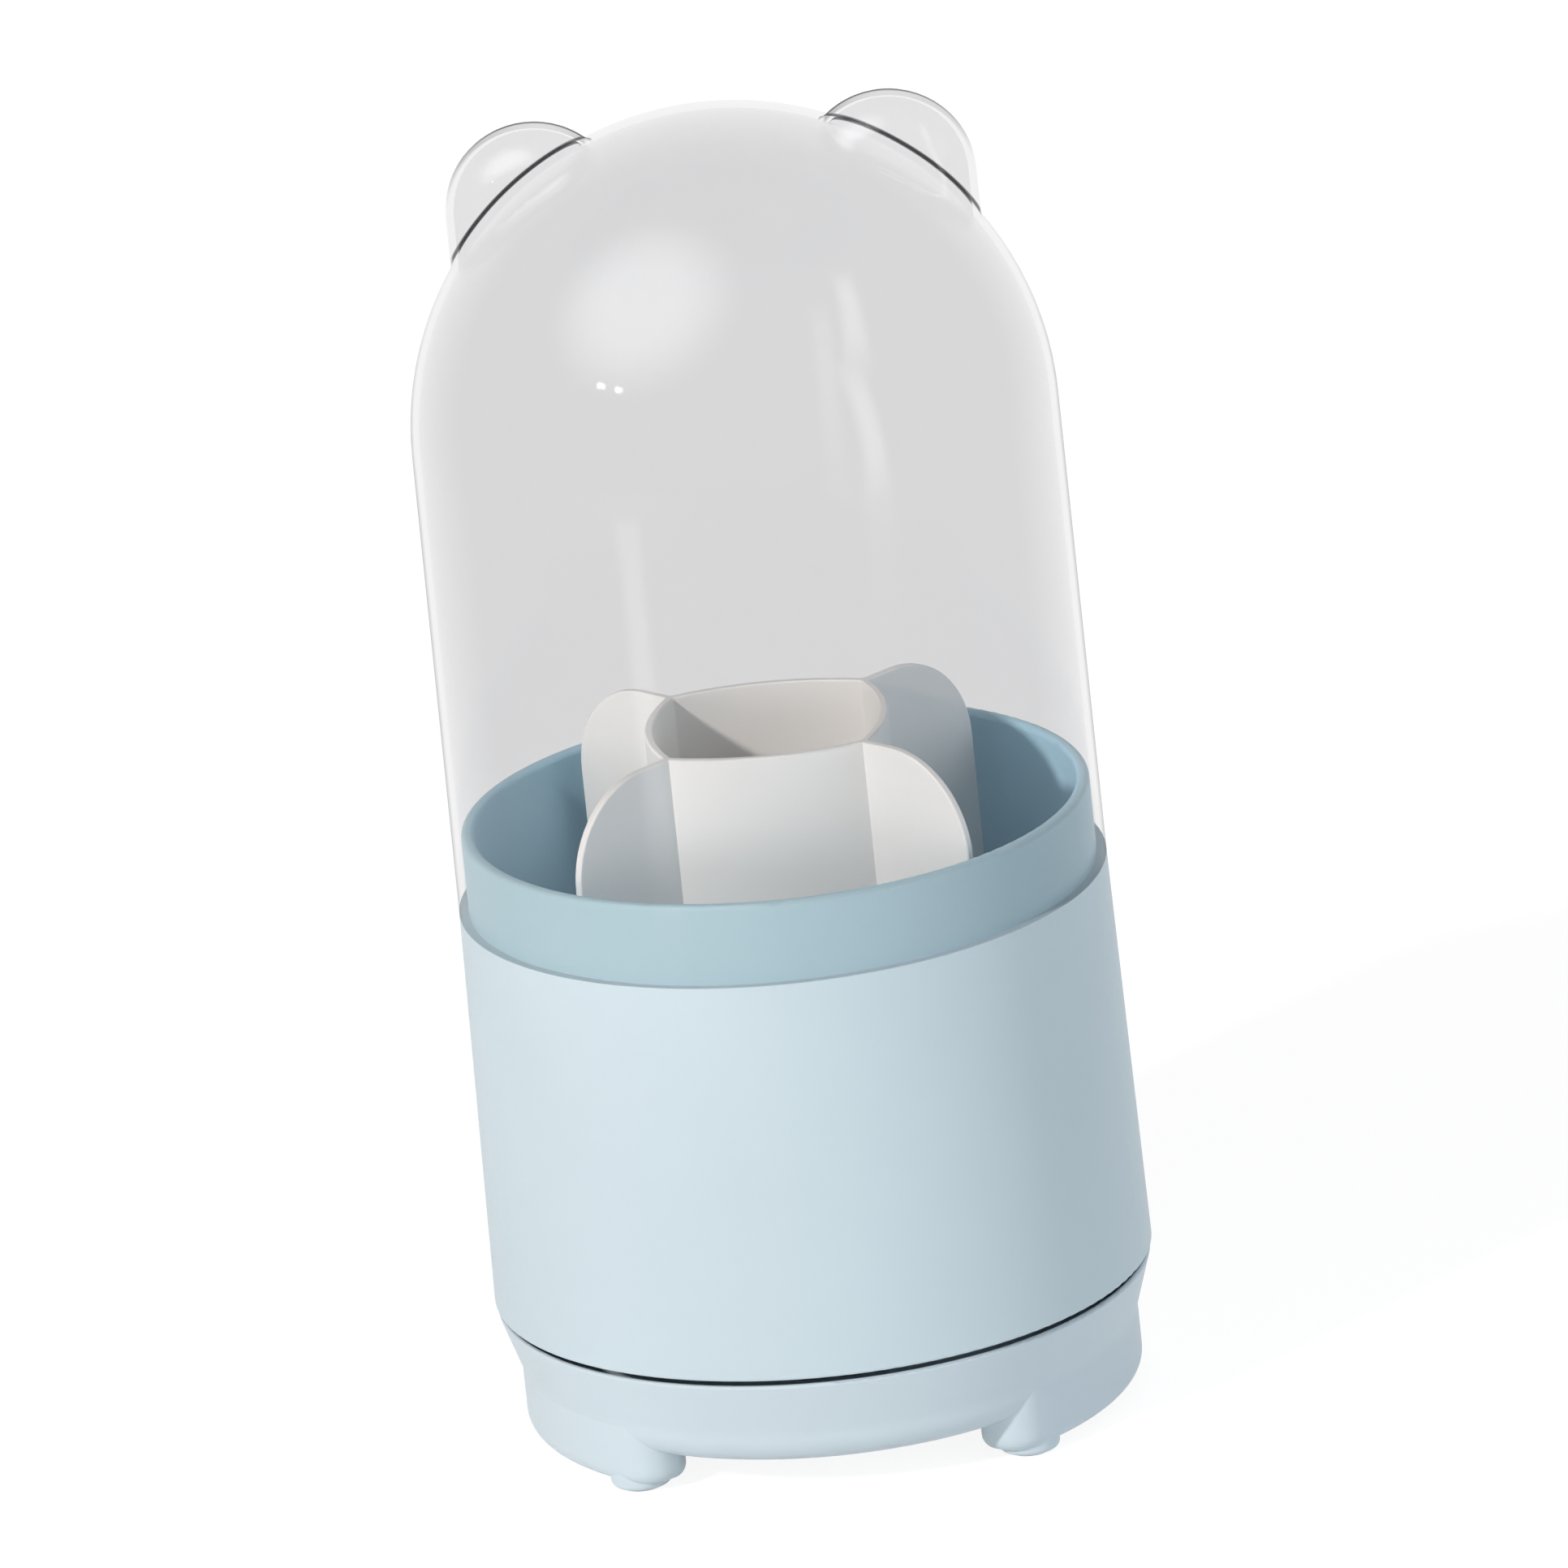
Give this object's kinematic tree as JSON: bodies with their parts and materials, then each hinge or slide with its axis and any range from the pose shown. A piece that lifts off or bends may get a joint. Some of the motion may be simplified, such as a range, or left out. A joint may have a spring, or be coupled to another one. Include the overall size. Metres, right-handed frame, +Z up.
{
  "type": "makeup brush box",
  "caption": "Round tub for makeup brushes that turns on a ball-bearing base, with a lift-out finned insert and a clear domed lid with round ears.",
  "frame": {"origin": "on the floor under the pads, on the turning axis", "axes": "+Z up along the turning axis, -Y the front of the picture, the lid's ears along X"},
  "size_m": [0.125, 0.125, 0.2562],
  "materials": {
    "body_plastic": "satin moulded plastic, pastel blue",
    "insert_plastic": "smooth white moulded plastic",
    "clear_plastic": "polished clear plastic",
    "cage_plastic": "natural moulded plastic",
    "steel": "plain bearing steel",
    "pad_rubber": "soft pale rubber"
  },
  "bodies": {
    "stand": {"base": "body_plastic", "foot_pads": "pad_rubber", "screw_cover": "body_plastic"},
    "tub": {"bucket": "body_plastic", "pivot_screw": "steel", "pivot_washer": "steel"},
    "cage": {"ball_cage": "cage_plastic", "bearing_balls": "steel"},
    "insert": {"divider": "insert_plastic"},
    "cover": {"lid": "clear_plastic"}
  },
  "joints": [
    {"name": "tub_spin", "type": "hinge", "parent": "stand", "child": "tub", "pos_m": [0, 0, 0.02215], "axis": [0, 0, 1], "continuous": true},
    {"name": "cage_spin", "type": "hinge", "parent": "stand", "child": "cage", "pos_m": [0, 0, 0.02215], "axis": [0, 0, 1], "continuous": true},
    {"name": "insert_lift", "type": "slide", "parent": "tub", "child": "insert", "axis": [0, 0, 1], "range_m": [0, 0.089]},
    {"name": "lid_lift", "type": "slide", "parent": "tub", "child": "cover", "axis": [0, 0, 1], "range_m": [0, 0.12]}
  ],
  "couplings": [
    {"joint": "cage_spin", "follows": "tub_spin", "ratio": 0.5}
  ]
}
